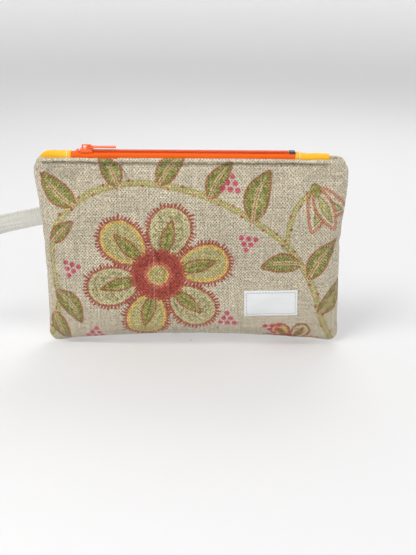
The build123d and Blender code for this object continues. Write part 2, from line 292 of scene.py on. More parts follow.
def flat_outline(u, v):
    """Where a point at u across and v up lies, on a pouch whose seams pull in between its flared corners."""
    u, v = np.asarray(u, float), np.asarray(v, float)
    half = half_width(v)
    x, z = rounded_corners((2 * u - 1) * half, v * FOLD_Z, half, FOLD_Z)
    pull = SIDE_PULL * np.sin(pi * np.clip((v - 0.02) / 0.86, 0, 1)) ** 1.2
    x = x - np.sign(x) * np.abs(2 * u - 1) ** 6 * pull
    lift = BOTTOM_LIFT * np.clip(np.cos(pi * (2 * u - 1) * 0.5), 0, 1) ** 0.8
    x = x + BOTTOM_SHIFT * (1 - v)
    return x, z + (1 - v) ** 5 * (lift - 0.8) + 1.2 * u * (1 - v) ** 2


def rolled_depth(u, v):
    """How far the wall stands from the seam plane before it is inflated."""
    x_in = (1 - np.abs(2 * u - 1)) * HALF_TOP
    z_in = np.minimum(v * FOLD_Z, (1 - v) * FOLD_Z + TOP_EXTRA)
    roll_x = ROLL + (ROLL_AT_MOUTH - ROLL) * smooth((v - 0.82) / 0.18)
    share_x, share_z = np.clip(x_in / roll_x, 0, 1), np.clip(z_in / ROLL, 0, 1)
    gone = np.clip((1 - share_x) ** ROLL_POWER + (1 - share_z) ** ROLL_POWER, 0, 1)
    return 0.2 + (DEPTH - 0.8) * (1 - gone) ** (1 / ROLL_POWER)


def coarse_walls():
    """The front and the back wall as coarse grids of points (up, across, xyz)."""
    v, u = np.meshgrid(np.linspace(0, 1, COARSE_Z), np.linspace(0, 1, COARSE_X), indexing="ij")
    x, z = flat_outline(u, v)
    depth = rolled_depth(u, v)
    return np.stack([x, -depth, z], -1), np.stack([x, depth, z], -1)


def inflate(front, back):
    """Swells both walls by cloth simulation, held at the zipper. Returns them with the movement capped."""
    rows, columns = front.shape[:2]
    points = np.vstack([front.reshape(-1, 3), back.reshape(-1, 3)])
    back_start = rows * columns
    ring = np.roll(grid_rim(rows, columns), rows - 1)
    following = np.roll(ring, -1)
    rim = np.stack([ring + back_start, following + back_start, following, ring], -1)
    faces = np.vstack([grid_faces(rows, columns), grid_faces(rows, columns, True, back_start), rim])
    body = make_object("swelling", points * SIM_SCALE, faces, bpy.data.materials.new("none"))
    pins = body.vertex_groups.new(name="pins")
    index = np.arange(back_start)
    top = index[index // columns >= rows - 1]
    pins.add([int(k) for k in np.concatenate([top, top + back_start])], 1.0, "REPLACE")
    cloth = body.modifiers.new("cloth", "CLOTH")
    settings = cloth.settings
    settings.quality = 8
    settings.mass = 0.3
    settings.tension_stiffness = settings.compression_stiffness = 25
    settings.shear_stiffness = 12
    settings.bending_stiffness = 0.6
    settings.air_damping = 3
    settings.shrink_min = settings.shrink_max = -0.02
    settings.use_pressure = True
    settings.uniform_pressure_force = PRESSURE
    settings.vertex_group_mass = "pins"
    settings.effector_weights.gravity = 0
    cloth.collision_settings.use_collision = False
    for number in range(1, SIM_FRAMES + 1):
        bpy.context.scene.frame_set(number)
    swollen = body.evaluated_get(bpy.context.evaluated_depsgraph_get()).data
    moved = np.empty(len(swollen.vertices) * 3, np.float32)
    swollen.vertices.foreach_get("co", moved)
    moved = moved.reshape(-1, 3) / MM / SIM_SCALE
    bpy.data.objects.remove(body)
    bpy.context.scene.frame_set(1)
    step = (moved - points) * np.array([PULL_IN, 1.0, PULL_IN])
    length = np.linalg.norm(step, axis=1)[:, None]
    print("cloth moved, mm: mean", length.mean(), "max", length.max())
    moved = points + step * np.minimum(1, SIM_CAP / np.maximum(length, 1e-6))
    return moved[:back_start].reshape(front.shape), moved[back_start:].reshape(back.shape)


def catmull(p0, p1, p2, p3, t):
    """The place at a share t of the way from p1 to p2 on a smooth curve through the four."""
    square, cube = 2 * p0 - 5 * p1 + 4 * p2 - p3, 3 * p1 - p0 - 3 * p2 + p3
    return 0.5 * (2 * p1 + (p2 - p0) * t + square * t**2 + cube * t**3)


def finer(values, shares, axis):
    """A grid read at those shares of its length along an axis, on smooth curves through its points."""
    values = np.moveaxis(values, axis, 0)
    padded = np.concatenate([2 * values[:1] - values[1:2], values, 2 * values[-1:] - values[-2:-1]])
    position = np.asarray(shares) * (len(values) - 1)
    index = np.minimum(position.astype(int), len(values) - 2)
    t = (position - index).reshape((-1,) + (1,) * (values.ndim - 1))
    return np.moveaxis(catmull(*(padded[index + k] for k in range(4)), t), 0, axis)


front_wall, back_wall = coarse_walls()
front_wall, back_wall = inflate(front_wall, back_wall)
seam = (front_wall + back_wall) / 2
for panel in (front_wall, back_wall):
    for edge in (np.s_[0, :], np.s_[:, 0], np.s_[:, -1]):
        panel[edge] = seam[edge]
        panel[edge][..., 1] *= 0.2


def wall(side, across, up):
    """Points and outward normals of a wall at those places, -1 to 1 across and 0 to 1 up."""
    base = front_wall if side < 0 else back_wall
    points = finer(finer(base, up, 0), (np.asarray(across) + 1) / 2, 1)
    normal = np.cross(np.gradient(points, axis=1), np.gradient(points, axis=0)) * -side
    return points, unit(normal, 1e-9)


# ------------------------------------------------------------------ print on the cloth
LINEN = srgb(214, 203, 179)
LINEN_DARK = srgb(180, 169, 145)
BRICK = srgb(170, 72, 54)
DARK_BRICK = srgb(128, 42, 34)
PALE_BRICK = srgb(190, 84, 70)
ROSE = srgb(206, 120, 98)
PINK = srgb(204, 66, 104)
OLIVE = srgb(120, 118, 46)
LEAF = srgb(172, 162, 88)
DEEP_LEAF = srgb(104, 112, 40)
GOLD = srgb(226, 182, 92)
CREAM = srgb(206, 194, 148)
ORANGE = srgb(204, 116, 58)
WHITE_SLUB = srgb(242, 238, 228)
THREAD_EDGE = 0.5  # how softly the print's edges end
HAIR_SPACING = 2.3  # from one stroke of a fringe to the next
LEAF_BELLY = 0.42  # where a leaf is widest, as a share of its length


def curve_through(points, closed=False, steps=7):
    """Points along a smooth curve through the given ones."""
    points = np.asarray(points, float)
    if closed:
        before, after, following = np.roll(points, 1, 0), np.roll(points, -1, 0), np.roll(points, -2, 0)
        count = len(points)
    else:
        before = np.vstack([points[:1], points[:-1]])
        after = np.vstack([points[1:], points[-1:]])
        following = np.vstack([points[2:], points[-1:], points[-1:]])
        count = len(points) - 1
    t = (np.arange(steps) / steps)[None, :, None]
    line = catmull(*(p[:count, None] for p in (before, points, after, following)), t).reshape(-1, 2)
    return np.vstack([line, line[:1] if closed else points[-1:]])


class Cloth:
    """A printed cloth: a colour for each point of a wall, painted motif by motif."""

    def __init__(self, x, z):
        self.x, self.z = x, z
        cloud = value_noise(x, z, 22, 3) * 0.5 + value_noise(x, z, 7, 4) * 0.25
        self.fleck = np.random.default_rng(11).uniform(-1, 1, len(x))
        self.fine = value_noise(x, z, 1.0, 5)
        shade = np.clip(0.3 + 0.3 * cloud + 0.35 * self.fine, 0, 1.4)
        self.rgb = LINEN + (LINEN_DARK - LINEN) * shade[:, None]
        self.ragged = value_noise(x, z, 1.3, 6)

    def near(self, line, margin):
        """The points within that margin of a line's box."""
        low, high = line.min(0) - margin, line.max(0) + margin
        return np.flatnonzero((self.x > low[0]) & (self.x < high[0]) & (self.z > low[1]) & (self.z < high[1]))

    def distance(self, index, line):
        """Distance to a line, how far along it the nearest place is, and its whole length."""
        x, z = self.x[index], self.z[index]
        best, where, done = np.full(len(index), 1e9), np.zeros(len(index)), 0.0
        for (ax, az), (bx, bz) in zip(line[:-1], line[1:]):
            dx, dz = bx - ax, bz - az
            length = (dx * dx + dz * dz) ** 0.5 + 1e-9
            t = np.clip(((x - ax) * dx + (z - az) * dz) / length**2, 0, 1)
            d = np.hypot(x - ax - t * dx, z - az - t * dz)
            closer = d < best
            best = np.where(closer, d, best)
            where = np.where(closer, done + t * length, where)
            done += length
        return best, where, done

    def inside(self, index, line):
        """Which of those points a closed line goes round."""
        x, z = self.x[index], self.z[index]
        inside = np.zeros(len(index), bool)
        for (ax, az), (bx, bz) in zip(line[:-1], line[1:]):
            crosses = (az > z) != (bz > z)
            inside ^= crosses & (x < (bx - ax) * (z - az) / (bz - az + 1e-12) + ax)
        return inside

    def lay(self, index, amount, colour, cover=0.92, fleck=0.18):
        """Prints a colour. Flecks let the cloth's own threads show through."""
        amount = np.clip(amount * (cover - fleck * np.clip(self.fleck[index] + self.fine[index], 0, 1)), 0, 1)
        tone = 1 + 0.2 * self.fine[index] + 0.14 * self.fleck[index]
        self.rgb[index] += (colour * tone[:, None] - self.rgb[index]) * amount[:, None]

    def stroke(self, points, width, colour, end=1.0, rope=0.0, dash=0.0):
        """A line of that width, tapering to a share of it at its end.

        rope twists it like stem stitch and dash breaks it up, each at that pitch."""
        line = curve_through(points)
        index = self.near(line, width + 1)
        if not len(index):
            return
        d, s, total = self.distance(index, line)
        half = width / 2 * (end + (1 - end) * smooth((1 - s / total) * 3)) + 0.18 * self.ragged[index]
        amount = smooth((half - d) / THREAD_EDGE + 0.5)
        if rope:
            amount = amount * (0.62 + 0.38 * np.sign(np.sin(2 * pi * (s / rope + d / 1.4)) + 0.35))
        if dash:
            amount = amount * (np.sin(2 * pi * s / dash) > -0.15)
        self.lay(index, amount, colour)

    def area(self, outline, colour, second, share, edge=None, edge_width=1.0, inner=None, fringe=None,
             fringe_length=0.0, hatch=None):
        """A closed shape: a fill flecked with a second colour, and an edge line.

        It may also have a hatched border, an inner line and a fringe of strokes outside it."""
        line = curve_through(outline, closed=True)
        index = self.near(line, fringe_length + 2)
        if not len(index):
            return
        d, s, total = self.distance(index, line)
        x, z = self.x[index], self.z[index]
        inside = self.inside(index, line)
        signed = np.where(inside, d, -d)
        body = smooth(signed / THREAD_EDGE + 0.5)
        self.lay(index, body, colour, 0.9, 0.15)
        speckle = value_noise(x, z, 1.15, 21) + 0.45 * self.fleck[index]
        self.lay(index, body * smooth((speckle + share - 0.5) * 4), second, 0.72, 0.1)
        if hatch is not None:
            lines = np.sin(2 * pi * s / 1.9 + 0.8 * self.ragged[index])
            self.lay(index, body * smooth((5.5 - signed) / 2) * (lines > 0.1), hatch, 0.75, 0.1)
        if inner is not None:
            amount = smooth((1.0 - np.abs(signed - 1.9)) / THREAD_EDGE + 0.5) * inside
            self.lay(index, amount, inner, 0.85, 0.2)
        if fringe is not None:
            self.lay(index, np.where(inside, 0, self.hairs(s, d, total, fringe_length)), fringe, 0.97, 0.12)
        if edge is not None:
            rope = 0.66 + 0.34 * np.sign(np.sin(2 * pi * (s / 1.7 + signed / 1.5)) + 0.4)
            amount = smooth((edge_width / 2 - np.abs(signed)) / THREAD_EDGE + 0.5)
            self.lay(index, amount * rope, edge, 0.95, 0.15)

    def hairs(self, s, d, total, length):
        """A fringe of short strokes that stand on a line, at a distance s along it and d from it."""
        wander = value_noise(s, s * 0, 3.1, 25)
        turns = max(1, round(total / HAIR_SPACING)) / total
        tooth = np.sin(2 * pi * (s * turns + 0.16 * wander + 0.05 * d))
        reach = length * (0.82 + 0.35 * value_noise(s, s * 0, 1.9, 26))
        return smooth((tooth + 0.78 - d / length * 0.8) * 3) * smooth((reach - d) / 0.7)

    def dots(self, places, radius, colour):
        """Round knots of that radius."""
        for x, z in places:
            index = self.near(np.array([[x, z]]), radius + 1)
            d = np.hypot(self.x[index] - x, self.z[index] - z) + 0.22 * self.ragged[index]
            self.lay(index, smooth((radius - d) / THREAD_EDGE + 0.5), colour, 0.95, 0.22)

    def slub(self, x):
        """A thick pale warp thread that the print doesn't cover."""
        seed = int(abs(x))
        wander = x + 0.5 * value_noise(self.z, self.z * 0, 30, seed + 40)
        thick = 0.28 + 0.16 * value_noise(self.z, self.z * 0, 9, seed + 50)
        amount = smooth((thick - np.abs(self.x - wander)) / 0.35 + 0.5) * (0.4 + 0.3 * np.sin(self.z * 4.2))
        self.rgb += (WHITE_SLUB - self.rgb) * np.clip(amount * 0.6, 0, 0.3)[:, None]


def polar(x, z, distance, degrees):
    """The place at that distance and direction from x, z."""
    return x + distance * cos(radians(degrees)), z + distance * sin(radians(degrees))


def oval(x, z, along, across, degrees, pointed=0.0):
    """Outline points of a petal shape centred there, turned by that angle, narrower at its inner end."""
    turn = radians(degrees)
    points = []
    for k in range(14):
        a = 2 * pi * k / 14
        lx, lz = along * cos(a), across * sin(a) * (1 + pointed * cos(a))
        points.append((x + lx * cos(turn) - lz * sin(turn), z + lx * sin(turn) + lz * cos(turn)))
    return points


def leaf_lines(base, tip, width, bend=0.0):
    """Outline and midrib of a pointed leaf, bowed sideways by bend."""
    base, tip = np.array(base, float), np.array(tip, float)
    across = np.array([base[1] - tip[1], tip[0] - base[0]]) / np.linalg.norm(tip - base)
    share = np.linspace(0, 1, 7)[:, None]
    rib = base + (tip - base) * share + across * bend * np.sin(pi * share)
    half = across * width / 2 * np.sin(pi * share ** (np.log(0.5) / np.log(LEAF_BELLY))) ** 0.8
    return np.vstack([rib + half, (rib - half)[-2:0:-1]]), rib


def paint_leaf(cloth, base, tip, width, bend):
    """A pointed leaf with a hatched edge and a stitched midrib."""
    outline, rib = leaf_lines(base, tip, width, bend)
    cloth.area(outline, LEAF, DEEP_LEAF, 0.5, BRICK, 1.3, hatch=DEEP_LEAF)
    cloth.stroke(rib[:-1], 2.6, CREAM, 0.4)
    cloth.stroke(rib[:-1], 1.2, BRICK, 0.4, rope=1.8)


def paint_vine(cloth, points, width=4.6):
    """An olive stem with a paler middle and brick-red knots down alternate sides."""
    cloth.stroke(points, width, LEAF)
    cloth.stroke(points, width * 0.45, CREAM, dash=1.9)
    line = curve_through(points)
    lengths = lengths_along(line)
    for number, s in enumerate(np.arange(4, lengths[-1] - 2, 9.0)):
        x, z = (np.interp(s, lengths, line[:, k]) for k in (0, 1))
        ahead_x, ahead_z = (np.interp(s + 1, lengths, line[:, k]) for k in (0, 1))
        side = (-1) ** number * width * 0.42
        cloth.dots([(x - (ahead_z - z) * side, z + (ahead_x - x) * side)], 0.95, BRICK)


def paint_berries(cloth, x, z, degrees):
    """A spray of six pink berries that narrows in that direction."""
    for row, count in enumerate((3, 2, 1)):
        for k in range(count):
            place = polar(x, z, row * 4.4, degrees)
            cloth.dots([polar(*place, (k - (count - 1) / 2) * 4.8, degrees + 90)], 1.9, PINK)


PETALS = 6
# Each look is the fill, the flecks, the inner line and the share of flecks.
PETAL_LOOKS = [(CREAM, OLIVE, CREAM, 0.45), (LEAF, CREAM, GOLD, 0.55)]


def paint_flower(cloth, x, z, turn, size):
    """A large flower: a brick-red disc, even petals edged with blanket stitch, a leaf in each petal."""
    for number in range(PETALS):
        fill, second, inner, share = PETAL_LOOKS[number % 2]
        direction = turn - 360 / PETALS * number
        centre = polar(x, z, 33.0 * size, direction)
        petal = oval(*centre, 18.5 * size, 14.5 * size, direction, 0.14)
        cloth.area(petal, fill, second, share, BRICK, 1.6, inner, BRICK, 4.4 * size)
    for number in range(PETALS):
        direction = turn - 360 / PETALS * number
        base, tip = (polar(x, z, distance * size, direction) for distance in (17, 42))
        outline, rib = leaf_lines(base, tip, 9.0 * size)
        cloth.area(outline, LEAF, DEEP_LEAF, 0.5, DARK_BRICK * 0.3 + BRICK * 0.7, 1.5)
        cloth.stroke(rib[:-1], 1.0, DEEP_LEAF, 0.4)
    disc, middle, heart, eye = (oval(x, z, radius * size, radius * size, 0) for radius in (18.5, 17, 10, 7))
    cloth.area(disc, BRICK, PALE_BRICK, 0.42, fringe=BRICK, fringe_length=2.4)
    cloth.area(middle, BRICK, DARK_BRICK, 0.3)
    cloth.area(heart, ROSE, BRICK, 0.4)
    cloth.area(eye, LEAF, CREAM, 0.5, GOLD, 1.2)


def paint_tulip(cloth, x, z, degrees, size):
    """A closed bud of three pointed petals in orange outline, which opens in that direction."""
    for turn, reach, width, bend in ((28, 44, 20, -4), (-30, 42, 20, 4), (0, 46, 17, 0)):
        base, tip = polar(x, z, 2 * size, degrees), polar(x, z, reach * size, degrees + turn)
        outline, rib = leaf_lines(base, tip, width * size, bend * size)
        cloth.area(outline, LINEN, CREAM, 0.35, ORANGE * 0.45 + BRICK * 0.55, 2.3)
        core, _ = leaf_lines(rib[1], rib[-2], width * 0.42 * size, bend * 0.5)
        cloth.area(core, LEAF, CREAM, 0.6, OLIVE, 1.0)
    cup = oval(*polar(x, z, 3 * size, degrees), 6 * size, 5 * size, degrees)
    cloth.area(cup, LEAF, OLIVE, 0.5, OLIVE, 1.0)


def paint(x, z):
    """The whole print, for points at x, z on the cloth: a flower among vines, leaves, a bud and berries."""
    cloth = Cloth(x, z)
    paint_vine(cloth, [(104, -4), (92, 22), (84, 50), (66, 78), (36, 101), (2, 116), (-36, 122), (-70, 114),
                       (-92, 94), (-99, 66), (-96, 36), (-104, 6)])
    paint_vine(cloth, [(66, 78), (68, 96), (75, 110), (84, 117)], 3.8)
    for leaf in (
        ((90, 26), (106, 50), 13, -2.0), ((82, 54), (103, 82), 14, 2.5), ((76, 65), (48, 62), 14, -2.0),
        ((42, 97), (54, 131), 17, 3.0), ((12, 112), (28, 136), 13, 2.0), ((-22, 121), (-4, 142), 14, 2.0),
        ((-50, 120), (-62, 140), 14, -2.0), ((-80, 106), (-102, 128), 15, 2.5),
        ((-97, 80), (-82, 95), 10, 1.0),
        ((-97, 44), (-80, 18), 14, 2.5), ((-100, 26), (-90, 2), 12, -1.5),
    ):
        paint_leaf(cloth, *leaf)
    paint_tulip(cloth, 84, 119, -62, 0.72)
    paint_flower(cloth, -24.0, 56.0, 75.0, 1.0)
    paint_flower(cloth, 70.0, -2.0, 60.0, 0.42)
    for spray in ((36, 80, 20), (-84, 64, 250), (22, 22, 330), (30, 122, 200), (60, 12, 160), (-68, 8, 200)):
        paint_berries(cloth, *spray)
    for slub_x in (-48.5, -27.0, 2.5, 48.0, 72.5, -88.0):
        cloth.slub(slub_x)
    return cloth.rgb


# ------------------------------------------------------------------ materials
class Look:
    """A node material being built, with short ways to add the nodes used here."""

    def __init__(self, name, roughness, **sockets):
        self.material = bpy.data.materials.new(name)
        self.material.use_nodes = True
        self.tree = self.material.node_tree
        self.shader = self.tree.nodes["Principled BSDF"]
        self.shader.inputs["Roughness"].default_value = roughness
        for socket, value in sockets.items():
            self.shader.inputs[socket.replace("_", " ")].default_value = value

    def node(self, kind, **settings):
        node = self.tree.nodes.new(kind)
        for key, value in settings.items():
            setattr(node, key, value)
        return node

    def link(self, value, socket):
        if isinstance(value, bpy.types.NodeSocket):
            self.tree.links.new(value, socket)
        else:
            socket.default_value = value

    def math(self, operation, a, b=0.0):
        node = self.node("ShaderNodeMath", operation=operation)
        self.link(a, node.inputs[0])
        self.link(b, node.inputs[1])
        return node.outputs[0]

    def stretched(self, vector, x, y, z):
        node = self.node("ShaderNodeVectorMath", operation="MULTIPLY")
        self.link(vector, node.inputs[0])
        node.inputs[1].default_value = (x, y, z)
        return node.outputs[0]

    def noise(self, vector, scale, detail=2.0):
        node = self.node("ShaderNodeTexNoise")
        self.link(vector, node.inputs["Vector"])
        node.inputs["Scale"].default_value = scale
        node.inputs["Detail"].default_value = detail
        return node.outputs["Fac"]

    def ranged(self, value, low, high, to_low, to_high):
        node = self.node("ShaderNodeMapRange")
        self.link(value, node.inputs["Value"])
        for key, number in zip(("From Min", "From Max", "To Min", "To Max"), (low, high, to_low, to_high)):
            node.inputs[key].default_value = number
        return node.outputs["Result"]

    def shaded(self, colour, amount):
        """The colour times the amount."""
        node = self.node("ShaderNodeMix", data_type="RGBA", blend_type="MULTIPLY")
        node.inputs[0].default_value = 1.0
        self.link(colour if isinstance(colour, bpy.types.NodeSocket) else (*colour, 1.0), node.inputs[6])
        self.link(amount, node.inputs[7])
        return node.outputs[2]

    def colour(self, value):
        self.link(value, self.shader.inputs["Base Color"])

    def bump(self, height, distance):
        node = self.node("ShaderNodeBump")
        node.inputs["Strength"].default_value = 1.0
        node.inputs["Distance"].default_value = distance
        self.link(height, node.inputs["Height"])
        self.link(node.outputs[0], self.shader.inputs["Normal"])

    def place(self, attribute=None):
        """Where a point is: on its cloth in millimetres, or in the object in metres."""
        if attribute:
            return self.node("ShaderNodeAttribute", attribute_name=attribute).outputs["Vector"]
        return self.node("ShaderNodeTexCoord").outputs["Object"]


def weave(look, at, pitch_x, pitch_y):
    """Height of a plain weave: threads across and along, each passing over and under, of uneven thickness."""
    split = look.node("ShaderNodeSeparateXYZ")
    look.link(at, split.inputs[0])
    wobble = look.math("MULTIPLY", look.noise(look.stretched(at, 0.3, 0.3, 0.3), 1.0, 4.0), 4.0)
    x = look.math("ADD", look.math("MULTIPLY", split.outputs[0], pi / pitch_x), wobble)
    y = look.math("ADD", look.math("MULTIPLY", split.outputs[1], pi / pitch_y), wobble)
    warp = look.math("ABSOLUTE", look.math("SINE", x))
    weft = look.math("ABSOLUTE", look.math("SINE", y))
    over = look.math("MULTIPLY", look.math("COSINE", x), look.math("COSINE", y))
    threads = look.math("MULTIPLY", look.math("ADD", warp, weft), 0.4)
    return look.math("ADD", threads, look.math("MULTIPLY", over, 0.5))


def woven(name, colour, pitch, depth, roughness, streak, sheen=0.25, contrast=0.25):
    """Cloth of that thread pitch in millimetres, with its bumps that deep in metres.

    colour is linear, or None for the printed one. streak and contrast say how much its shade varies."""
    look = Look(name, roughness, Sheen_Weight=sheen, Sheen_Roughness=0.6, Specular_IOR_Level=0.25)
    at = look.place("cloth")
    height = weave(look, at, pitch, pitch * 1.12)
    warp_slub = look.noise(look.stretched(at, 1.5 / pitch * 0.6, 0.035, 1), 1.0, 3.0)
    weft_slub = look.noise(look.stretched(at, 0.04, 1.5 / pitch * 0.6, 1), 1.0, 3.0)
    slub = look.math("ADD", warp_slub, weft_slub)
    shade = look.ranged(slub, 0.6, 1.4, 1 - streak, 1 + streak)
    fibres = look.noise(look.stretched(at, 0.9 / pitch, 0.6 / pitch, 1), 1.0, 2.0)
    rough_height = look.math("ADD", look.math("MULTIPLY", height, 0.55), look.math("MULTIPLY", fibres, 1.3))
    grain = look.ranged(rough_height, 0.35, 1.15, 1 - contrast, 1 + contrast * 0.4)
    base = colour
    if colour is None:
        base = look.node("ShaderNodeVertexColor", layer_name="print").outputs["Color"]
    look.colour(look.shaded(look.shaded(base, shade), grain))
    look.bump(look.math("ADD", height, look.math("MULTIPLY", slub, 0.9)), depth)
    return look.material


def thread(name, colour):
    """Twisted sewing thread."""
    look = Look(name, 0.6, Sheen_Weight=0.2, Specular_IOR_Level=0.35)
    at = look.place()
    twist = look.noise(at, 3500.0, 1.0)
    look.colour(look.shaded(colour, look.ranged(twist, 0.3, 0.7, 0.75, 1.12)))
    look.bump(twist, 0.00008)
    return look.material


def enamel(name, colour):
    """Sprayed enamel on die-cast metal, slightly rippled, thin and darker in places."""
    look = Look(name, 0.32, Specular_IOR_Level=0.5, Coat_Weight=0.35, Coat_Roughness=0.18)
    at = look.place()
    wear = look.noise(at, 900.0, 4.0)
    look.colour(look.shaded(colour, look.ranged(wear, 0.3, 0.7, 0.86, 1.08)))
    look.bump(look.noise(at, 1600.0, 2.0), 0.00003)
    return look.material


def dull_metal(name, colour):
    """Crimped grey metal with fine scratches."""
    look = Look(name, 0.42, Metallic=0.9)
    at = look.place()
    scratch = look.noise(look.stretched(at, 1, 9, 9), 1800.0, 3.0)
    look.colour(look.shaded(colour, look.ranged(scratch, 0.3, 0.7, 0.7, 1.15)))
    look.link(look.ranged(scratch, 0.3, 0.7, 0.32, 0.55), look.shader.inputs["Roughness"])
    look.bump(scratch, 0.00003)
    return look.material


def monofilament(name, colour):
    """Satin nylon wire, a little translucent."""
    look = Look(name, 0.38, Specular_IOR_Level=0.5)
    at = look.place()
    tone = look.noise(at, 1100.0, 2.0)
    look.colour(look.shaded(colour, look.ranged(tone, 0.3, 0.7, 0.88, 1.1)))
    look.bump(tone, 0.00002)
    return look.material


ZIP_ORANGE = srgb(236, 97, 4)
printed = woven("printed_linen", None, 1.05, 0.00045, 0.93, 0.3, sheen=0.15, contrast=0.75)
lining_cotton = woven("lining_cotton", srgb(250, 190, 52), 0.3, 0.00006, 0.9, 0.07)
fleece = woven("fleece", srgb(240, 238, 230), 0.8, 0.0003, 0.97, 0.1, contrast=0.1)
tab_cotton = woven("tab_cotton", srgb(248, 184, 26), 0.36, 0.00007, 0.88, 0.08, contrast=0.16)
tape_cloth = woven("zipper_tape", ZIP_ORANGE, 0.42, 0.00009, 0.72, 0.06, sheen=0.08, contrast=0.2)
strap_cotton = woven("strap_cotton", srgb(199, 198, 190), 0.5, 0.00012, 0.9, 0.34, contrast=0.34)
label_cloth = woven("label_cloth", srgb(216, 218, 219), 0.3, 0.00003, 0.62, 0.03, contrast=0.06)
linen_thread = thread("linen_thread", srgb(186, 176, 150))
white_thread = thread("white_thread", srgb(246, 242, 230))
label_thread = thread("label_thread", srgb(112, 114, 122))
strap_thread = thread("strap_thread", srgb(196, 194, 188))
orange_thread = thread("orange_thread", srgb(224, 84, 6))
slider_enamel = enamel("slider_enamel", srgb(240, 96, 12))
stop_metal = dull_metal("stop_metal", srgb(84, 81, 84))
coil_nylon = monofilament("coil_nylon", srgb(232, 82, 4))


# ------------------------------------------------------------------ outer panels
GROOVE_Z = FOLD_Z - 2.3  # the height of the topstitching
GROOVE_LEFT, GROOVE_RIGHT = -104.0, 94.0  # its ends, short of the bulky right corner
FOLD_RADIUS = 1.3
FOLD_RETURN = [(1.3, 0.1), (2.2, 0.5), (4.0, 0.5)]  # the turned-in edge: how far down, how far pressed in
FADE = 0.8
FRONT_GRID = (500, 322)  # points of a panel across and up
BACK_GRID = (376, 244)


def topstitched(x):
    """1 along the topstitching, easing to 0 at its ends."""
    return smooth((x - GROOVE_LEFT) / 4) * smooth((GROOVE_RIGHT - x) / 4)


def relief(x, z, seed):
    """Puckers at the seams and the topstitching, and soft wrinkles, outward in millimetres."""
    from_groove = z - GROOVE_Z
    groove = -1.6 * bell(from_groove, 0.95) * topstitched(x)
    roll_up = 0.6 * bell(from_groove - 2.0, 0.9)
    below = np.clip(-from_groove, 0, None)
    swell = 0.7 * bell(below - 6, 5)
    pucker = 0.26 * np.exp(-below / 7) * value_noise(x, z * 0.12, 4.2, seed) * (below > 0)
    waves = 0.9 * np.exp(-below / 30) * value_noise(x, z * 0.22, 13, seed + 1)
    from_side = half_width(z / FOLD_Z) - np.abs(x)
    edge = np.minimum(from_side, z)
    along = np.where(from_side < z, z, x)
    seam_pucker = 0.5 * np.exp(-np.abs(edge - 5) / 6) * value_noise(along, edge * 0.18, 6.0, seed + 2)
    slack = 1.25 * value_noise(x + 0.35 * z, z, 34, seed + 3) * smooth(edge / 18)
    crease = 0.65 * value_noise(x * 0.5 + z * 0.7, z * 0.6 - x * 0.4, 15, seed + 4) * smooth(edge / 12)
    return groove + roll_up + swell + pucker + waves * smooth(below / 5) + seam_pucker + slack + crease


def painted_fold_light_and_groove_shade(rgb, x, z):
    """The print's colours toned by FADE, with a painted highlight on the folded edge and painted shade down in
    the topstitching.
    """
    # painted highlight where the fold faces up, painted shade in the topstitching groove
    paler = 0.2 * smooth((z - GROOVE_Z - 1.0) / 0.8)
    darker = 0.34 * topstitched(x) * bell(z - GROOVE_Z, 1.0)
    return rgb * (FADE * (1 + paler - darker))[:, None]


def outer_surface(side, columns, rows, seed):
    """An outer panel with its folded top edge: points row by row, quads, and places on the flat cloth."""
    across, up = np.linspace(-1, 1, columns), np.linspace(0, 1, rows)
    points, normal = wall(side, across, up)
    v, u = np.meshgrid(up, across, indexing="ij")
    flat_x, flat_z = u * half_width(v), v * FOLD_Z
    keep = smooth(np.minimum((1 - np.abs(u)) * HALF_TOP, flat_z) / 3.0)
    points = points + normal * (relief(flat_x, flat_z, seed) * keep)[..., None]
    top, last = points[-1], flat_z[-1, 0]
    folded, flat = [], []
    for angle in np.linspace(0, pi, 9)[1:]:
        turned = top.copy()
        turned[:, 1] -= side * FOLD_RADIUS * (1 - cos(angle))
        turned[:, 2] += FOLD_RADIUS * sin(angle)
        folded.append(turned)
        flat.append(last + FOLD_RADIUS * angle)
    inner_edge, inner_flat = folded[-1], flat[-1]
    for drop, pressed in FOLD_RETURN:
        turned = inner_edge.copy()
        turned[:, 1] -= side * pressed
        turned[:, 2] -= drop
        folded.append(turned)
        flat.append(inner_flat + drop)
    folded = np.array(folded)
    points = np.concatenate([points, folded])
    extra = np.stack([np.broadcast_to(flat_x[-1], folded.shape[:2]),
                      np.repeat(np.array(flat)[:, None], columns, 1)], -1)
    places = np.concatenate([np.stack([flat_x, flat_z], -1), extra])
    faces = grid_faces(len(points), columns, side > 0)
    return points.reshape(-1, 3), faces, places.reshape(-1, 2)


front_points, front_faces, front_flat = outer_surface(-1, *FRONT_GRID, 60)
# the front's print, with a painted highlight on the fold and painted shade in the topstitching groove
front_rgb = painted_fold_light_and_groove_shade(paint(*front_flat.T), *front_flat.T)
front_normals = point_normals(front_points, front_faces)
front_panels = front_pieces("front_panel", front_points, front_faces, printed, "front_outer", colours=front_rgb,
                            normals=front_normals, places=front_flat)

back_points, back_faces, back_flat = outer_surface(1, *BACK_GRID, 80)
# The back is cut from the same cloth, turned upside down.
back_print_x, back_print_z = 14.0 - back_flat[:, 0], FOLD_Z - 6.0 - back_flat[:, 1]
# the back's print, with a painted highlight on the fold and painted shade in the topstitching groove
back_rgb = painted_fold_light_and_groove_shade(paint(back_print_x, back_print_z), *back_flat.T)
back_panel = back_piece("back_panel", back_points, back_faces, printed, "back_outer", colours=back_rgb,
                        places=back_flat)


# ------------------------------------------------------------------ padding and lining
SEAM_ALLOWANCE = 0.035  # the share of a wall, next to its seams, that the inner layers stay out of
SEAM_HALF = 0.15  # half the thickness of what is sewn together at the seams
INNER_GRID = (145, 90)  # points of an inner layer across and up


